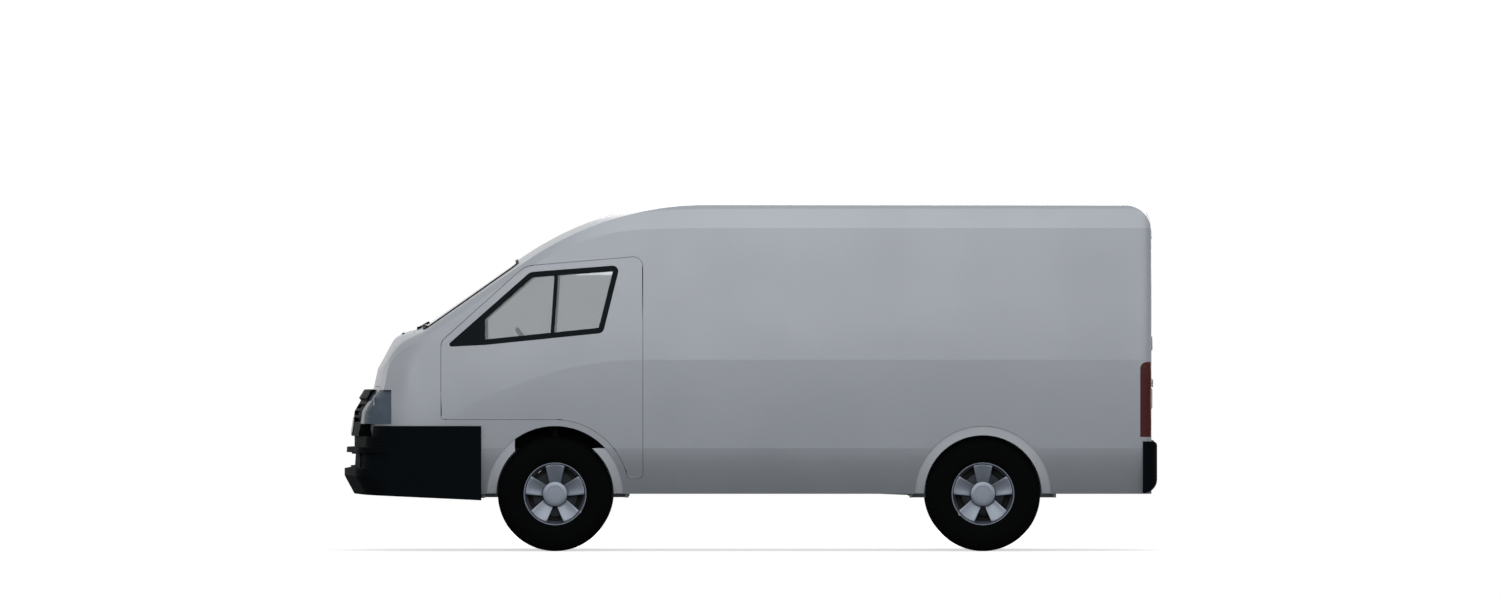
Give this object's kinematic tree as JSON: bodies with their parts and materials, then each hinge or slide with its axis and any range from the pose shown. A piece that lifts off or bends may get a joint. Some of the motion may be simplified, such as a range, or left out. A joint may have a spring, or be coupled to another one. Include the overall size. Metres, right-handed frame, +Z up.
{
  "type": "panel van",
  "caption": "Light panel van with a short sloping nose, closed load space, hinged cab doors, a lifting tailgate and steered front wheels.",
  "frame": {"origin": "centre of the bounding box's bottom face, on the ground midway between bumpers", "axes": "+X to the rear along the length, +Y to the van's right, +Z up"},
  "size_m": [4.8918, 1.8748, 2.1024],
  "materials": {
    "body_paint": "metallic silver grey",
    "dark_plastic": "grained",
    "clear_glass": "polished",
    "lamp_lens": "moulded",
    "painted_steel": "satin",
    "cast_block": "rough",
    "seat_cloth": "woven",
    "tyre_rubber": "moulded",
    "alloy": "painted"
  },
  "bodies": {
    "body": {"bulkhead": "painted_steel", "chassis_rails": "painted_steel", "dashboard": "dark_plastic", "engine_block": "cast_block", "exhaust": "painted_steel", "floor_pan": "painted_steel", "front_arch_liners": "dark_plastic", "front_bumper": "dark_plastic", "front_frame": "body_paint", "front_suspension": "painted_steel", "front_wheelhouses": "painted_steel", "fuel_tank": "dark_plastic", "grille": "dark_plastic", "headlamps": "lamp_lens", "leaf_springs": "painted_steel", "propeller_shaft": "painted_steel", "rear_axle": "painted_steel", "rear_bumper": "dark_plastic", "rear_frame": "body_paint", "rear_wheelhouses": "painted_steel", "roof_panel": "body_paint", "screen_seal": "dark_plastic", "seats": "seat_cloth", "side_panel_left": "body_paint", "side_panel_right": "body_paint", "sliding_door": "body_paint", "steering_wheel": "dark_plastic", "tail_lamps": "lamp_lens", "windscreen": "clear_glass"},
    "door_left": {"door_panel_left": "body_paint", "door_frame_left": "dark_plastic", "door_glass_left": "clear_glass"},
    "door_right": {"door_panel_right": "body_paint", "door_frame_right": "dark_plastic", "door_glass_right": "clear_glass"},
    "tailgate": {"tailgate": "body_paint", "tailgate_glass": "clear_glass", "tailgate_seal": "dark_plastic"},
    "bonnet": {"bonnet": "body_paint"},
    "knuckle_left": {"knuckle_left": "painted_steel"},
    "knuckle_right": {"knuckle_right": "painted_steel"},
    "wheel_front_left": {"tyre_front_left": "tyre_rubber", "rim_front_left": "alloy"},
    "wheel_front_right": {"tyre_front_right": "tyre_rubber", "rim_front_right": "alloy"},
    "wheel_rear_left": {"tyre_rear_left": "tyre_rubber", "rim_rear_left": "alloy"},
    "wheel_rear_right": {"tyre_rear_right": "tyre_rubber", "rim_rear_right": "alloy"}
  },
  "joints": [
    {"name": "door_left_hinge", "type": "hinge", "parent": "body", "child": "door_left", "pos_m": [-1.852, -0.9065, 1.1], "axis": [0, 0, -1], "range_deg": [0, 65]},
    {"name": "door_right_hinge", "type": "hinge", "parent": "body", "child": "door_right", "pos_m": [-1.852, 0.9065, 1.1], "axis": [0, 0, 1], "range_deg": [0, 65]},
    {"name": "tailgate_hinge", "type": "hinge", "parent": "body", "child": "tailgate", "pos_m": [2.403, 0, 2.035], "axis": [0, -1, 0], "range_deg": [0, 85]},
    {"name": "bonnet_hinge", "type": "hinge", "parent": "body", "child": "bonnet", "pos_m": [-2.018, 0, 1.336], "axis": [0, 1, 0], "range_deg": [0, 50]},
    {"name": "steer_left", "type": "hinge", "parent": "body", "child": "knuckle_left", "pos_m": [-1.169, -0.73, 0.345], "axis": [0, 0, 1], "range_deg": [-35, 35]},
    {"name": "steer_right", "type": "hinge", "parent": "body", "child": "knuckle_right", "pos_m": [-1.169, 0.73, 0.345], "axis": [0, 0, 1], "range_deg": [-35, 35]},
    {"name": "spin_front_left", "type": "hinge", "parent": "knuckle_left", "child": "wheel_front_left", "pos_m": [-1.169, -0.79, 0.345], "axis": [0, 1, 0], "continuous": true},
    {"name": "spin_rear_left", "type": "hinge", "parent": "body", "child": "wheel_rear_left", "pos_m": [1.4, -0.79, 0.345], "axis": [0, 1, 0], "continuous": true},
    {"name": "spin_front_right", "type": "hinge", "parent": "knuckle_right", "child": "wheel_front_right", "pos_m": [-1.169, 0.79, 0.345], "axis": [0, 1, 0], "continuous": true},
    {"name": "spin_rear_right", "type": "hinge", "parent": "body", "child": "wheel_rear_right", "pos_m": [1.4, 0.79, 0.345], "axis": [0, 1, 0], "continuous": true}
  ],
  "couplings": [
    {"joint": "steer_right", "follows": "steer_left", "ratio": 1}
  ]
}
